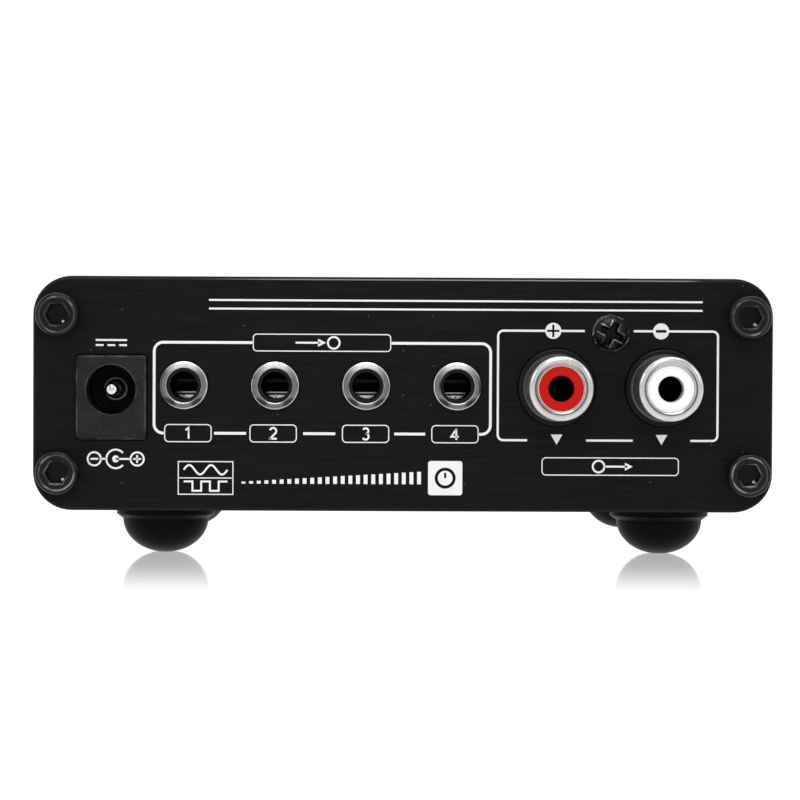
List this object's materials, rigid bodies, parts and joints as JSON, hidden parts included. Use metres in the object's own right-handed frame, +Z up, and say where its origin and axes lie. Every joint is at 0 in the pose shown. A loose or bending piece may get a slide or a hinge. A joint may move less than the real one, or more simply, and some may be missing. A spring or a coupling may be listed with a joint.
{
  "type": "audio switch box",
  "caption": "Low black aluminium box that switches between line sources: jack inputs, phono outputs and a power inlet behind, selector and volume knobs in front, rubber feet.",
  "frame": {"origin": "middle of the bounding box, on the floor under the feet", "axes": "+Z up; the front panel with the knobs faces -Y; the rear panel with the sockets faces +Y; +X is to the right as one looks at the front"},
  "size_m": [0.0954, 0.1106, 0.0363],
  "materials": {
    "black_anodised": "fine brushed, black anodised, satin",
    "black_extrusion": "extruded, black anodised, satin",
    "black_steel": "black oxide",
    "rubber": "smooth black rubber",
    "board": "green solder mask",
    "jack_plastic": "moulded, matt black",
    "contact_metal": "bright spring brass",
    "nickel": "turned, nickel plated",
    "red_plastic": "moulded, semi gloss",
    "white_plastic": "moulded, semi gloss",
    "knob_aluminium": "turned, black anodised, bright front edge",
    "plated_steel": "zinc plated",
    "lens": "tinted, glossy",
    "chip_plastic": "moulded, matt",
    "can_sleeve": "shrink sleeve",
    "film_plastic": "dipped, glossy"
  },
  "bodies": {
    "chassis": {"upper_shell": "black_extrusion", "lower_shell": "black_extrusion", "rear_panel": "black_anodised", "front_panel": "black_anodised", "rear_panel_screws": "black_steel", "front_panel_screws": "black_steel", "phono_screw": "black_steel", "foot_front_left": "rubber", "foot_front_right": "rubber", "foot_rear_left": "rubber", "foot_rear_right": "rubber", "main_board": "board", "dc_jack_housing": "jack_plastic", "dc_jack_pin": "nickel", "dc_jack_contacts": "contact_metal", "line_in_housing_1": "jack_plastic", "line_in_ferrule_1": "nickel", "line_in_contacts_1": "contact_metal", "line_in_housing_2": "jack_plastic", "line_in_ferrule_2": "nickel", "line_in_contacts_2": "contact_metal", "line_in_housing_3": "jack_plastic", "line_in_ferrule_3": "nickel", "line_in_contacts_3": "contact_metal", "line_in_housing_4": "jack_plastic", "line_in_ferrule_4": "nickel", "line_in_contacts_4": "contact_metal", "line_out_housing": "jack_plastic", "line_out_ferrule": "nickel", "line_out_contacts": "contact_metal", "phono_block": "jack_plastic", "phono_barrel_right": "nickel", "phono_insulator_right": "red_plastic", "phono_contact_right": "contact_metal", "phono_barrel_left": "nickel", "phono_insulator_left": "white_plastic", "phono_contact_left": "contact_metal", "volume_bushing": "plated_steel", "volume_case": "chip_plastic", "volume_nut": "plated_steel", "selector_bushing": "plated_steel", "selector_case": "chip_plastic", "selector_nut": "plated_steel", "power_switch_case": "chip_plastic", "power_switch_bushing": "nickel", "power_switch_nut": "nickel", "power_light": "lens", "power_light_leads": "plated_steel", "amplifier_chips": "chip_plastic", "electrolytic_capacitors": "can_sleeve", "film_capacitors": "film_plastic", "voltage_regulator": "chip_plastic"},
    "volume": {"volume_shaft": "plated_steel", "volume_knob": "knob_aluminium", "volume_grub_screw": "black_steel"},
    "selector": {"selector_shaft": "plated_steel", "selector_knob": "knob_aluminium", "selector_grub_screw": "black_steel"},
    "power_lever": {"power_lever": "nickel"}
  },
  "joints": [
    {"name": "volume_turn", "type": "hinge", "parent": "chassis", "child": "volume", "pos_m": [0.029, -0.0411, 0.0223], "axis": [0, 1, 0], "range_deg": [-150, 150]},
    {"name": "selector_turn", "type": "hinge", "parent": "chassis", "child": "selector", "pos_m": [0.00228, -0.0411, 0.0223], "axis": [0, 1, 0], "range_deg": [0, 90]},
    {"name": "power_lever_tip", "type": "hinge", "parent": "chassis", "child": "power_lever", "pos_m": [-0.036, -0.0426, 0.0223], "axis": [-1, 0, 0], "range_deg": [0, 25]}
  ]
}
